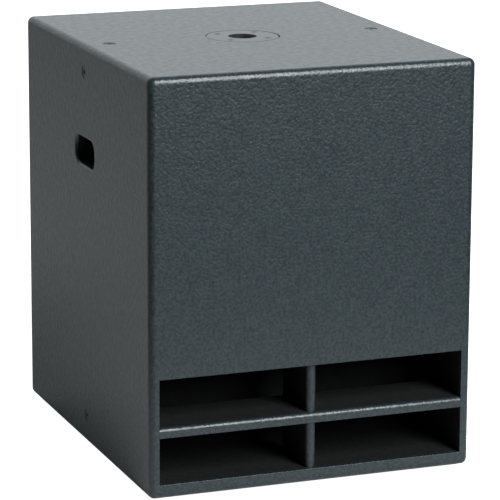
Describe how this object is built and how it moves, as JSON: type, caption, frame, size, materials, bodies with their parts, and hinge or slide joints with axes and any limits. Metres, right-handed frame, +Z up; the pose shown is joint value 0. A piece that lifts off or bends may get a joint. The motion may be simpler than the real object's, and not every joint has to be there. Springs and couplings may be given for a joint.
{
  "type": "subwoofer cabinet",
  "caption": "Slot-ported band-pass subwoofer cabinet in textured charcoal paint, with hand slots, a pole cup, rigging points and a rear connector dish.",
  "frame": {"origin": "on the floor, under the middle of the cabinet; the rubber feet stand on z = 0", "axes": "+Z up, -Y out of the ported front, +X to the right of someone facing the front"},
  "size_m": [0.5, 0.59, 0.62],
  "materials": {
    "cabinet_paint": "birch plywood under semi-gloss textured charcoal paint",
    "birch_ply": "plywood, stained black",
    "pine_batten": "planed softwood",
    "foam_gasket": "closed-cell foam",
    "black_plastic": "fine moulded texture",
    "black_metal": "powder-coated charcoal",
    "black_zinc": "black zinc plate",
    "painted_screw": "painted over with the cabinet",
    "zinc_steel": "bright zinc plate",
    "cast_basket": "cast and powder-coated black",
    "ferrite": "ground ceramic magnet",
    "paper_cone": "pressed paper pulp, black",
    "rubber": "matt",
    "spider_cloth": "resin-treated cotton",
    "former_film": "amber film",
    "copper_winding": "varnished copper",
    "contact_metal": "tinned brass",
    "cable_jacket": "round two-core jacket",
    "wadding": "loose polyester fibre"
  },
  "bodies": {
    "cabinet": {"basket": "cast_basket", "bottom_panel": "cabinet_paint", "cable_clips": "black_plastic", "connector_dish": "black_plastic", "dish_gasket": "foam_gasket", "driver_baffle": "birch_ply", "driver_bolts": "black_zinc", "driver_gasket": "foam_gasket", "driver_tee_nuts": "zinc_steel", "foot_front_left": "rubber", "foot_front_right": "rubber", "foot_rear_left": "rubber", "foot_rear_right": "rubber", "foot_screws": "zinc_steel", "front_panel": "cabinet_paint", "handle_cup_left": "black_plastic", "handle_cup_right": "black_plastic", "input_socket": "black_plastic", "link_socket": "black_plastic", "magnet": "ferrite", "pole_cup": "black_metal", "pole_cup_gasket": "foam_gasket", "pole_cup_screws": "black_zinc", "pole_yoke": "zinc_steel", "port_divider_lower": "cabinet_paint", "port_divider_upper": "cabinet_paint", "port_roof": "birch_ply", "port_shelf": "cabinet_paint", "rear_batten_bottom": "pine_batten", "rear_batten_left": "pine_batten", "rear_batten_right": "pine_batten", "rear_batten_top": "pine_batten", "rear_gasket": "foam_gasket", "rear_panel": "cabinet_paint", "rear_panel_screws": "black_zinc", "rigging_blanking_screws": "painted_screw", "rigging_bracket_bottom_left": "zinc_steel", "rigging_bracket_bottom_right": "zinc_steel", "rigging_bracket_top_left": "zinc_steel", "rigging_bracket_top_right": "zinc_steel", "side_panel_left": "cabinet_paint", "side_panel_right": "cabinet_paint", "socket_contacts": "contact_metal", "socket_screws": "black_zinc", "speaker_cable": "cable_jacket", "spider": "spider_cloth", "surround": "rubber", "terminal_block": "black_plastic", "terminal_tabs": "contact_metal", "tinsel_leads": "contact_metal", "top_panel": "cabinet_paint", "top_plate": "zinc_steel", "wadding_left": "wadding", "wadding_rear": "wadding", "wadding_right": "wadding", "wood_screws": "black_zinc"},
    "cone_assembly": {"cone": "paper_cone", "dust_cap": "paper_cone", "voice_coil_former": "former_film", "voice_coil_winding": "copper_winding"}
  },
  "joints": [
    {"name": "cone_excursion", "type": "slide", "parent": "cabinet", "child": "cone_assembly", "axis": [0, -1, 0], "range_m": [-0.008, 0.008], "stiffness_N_per_m": 7500, "deforming": ["surround", "spider", "tinsel_leads"]}
  ]
}
